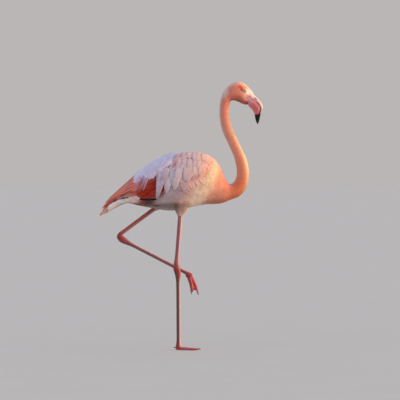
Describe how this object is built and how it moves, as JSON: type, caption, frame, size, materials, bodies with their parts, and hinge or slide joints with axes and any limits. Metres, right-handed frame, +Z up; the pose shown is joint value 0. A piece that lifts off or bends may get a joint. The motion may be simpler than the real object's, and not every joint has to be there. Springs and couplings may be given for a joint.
{
  "type": "greater flamingo",
  "caption": "Life-size greater flamingo that stands on one leg in a slow step, the other leg drawn up behind, neck in an S-curve and bill pointing down.",
  "frame": {"origin": "on the ground, under the ball of the right foot, which the bird stands on", "axes": "+X the way the bird faces, +Y its left, +Z up"},
  "size_m": [0.6531, 0.1738, 1.073],
  "materials": {
    "body_feathers": "soft matt feathers, pinkish white to salmon",
    "flight_feathers": "close-webbed feathers, white, salmon and orange-red",
    "neck_feathers": "short dense feathers, salmon",
    "leg_skin": "scaly bare skin, pinkish red, satin",
    "bill_horn": "smooth horn, pink with a black tip, satin",
    "claw_horn": "dark horn, satin",
    "eye": "pale yellow iris with a black pupil, wet gloss"
  },
  "bodies": {
    "root": {"torso": "body_feathers", "tail": "flight_feathers", "neck_base": "neck_feathers", "neck_lower": "neck_feathers", "neck_middle": "neck_feathers", "neck_upper": "neck_feathers", "head": "neck_feathers", "bill_upper": "bill_horn", "bill_lower": "bill_horn", "eye_right": "eye", "eye_left": "eye", "wing_right": "flight_feathers", "wing_left": "flight_feathers", "thigh_right": "body_feathers", "thigh_left": "body_feathers", "shin_right": "leg_skin", "shin_left": "leg_skin", "hock_right": "leg_skin", "hock_left": "leg_skin", "tarsus_right": "leg_skin", "tarsus_left": "leg_skin", "foot_right": "leg_skin", "foot_left": "leg_skin", "claw_inner_right": "claw_horn", "claw_middle_right": "claw_horn", "claw_outer_right": "claw_horn", "claw_hind_right": "claw_horn", "claw_inner_left": "claw_horn", "claw_middle_left": "claw_horn", "claw_outer_left": "claw_horn", "claw_hind_left": "claw_horn"}
  },
  "joints": []
}
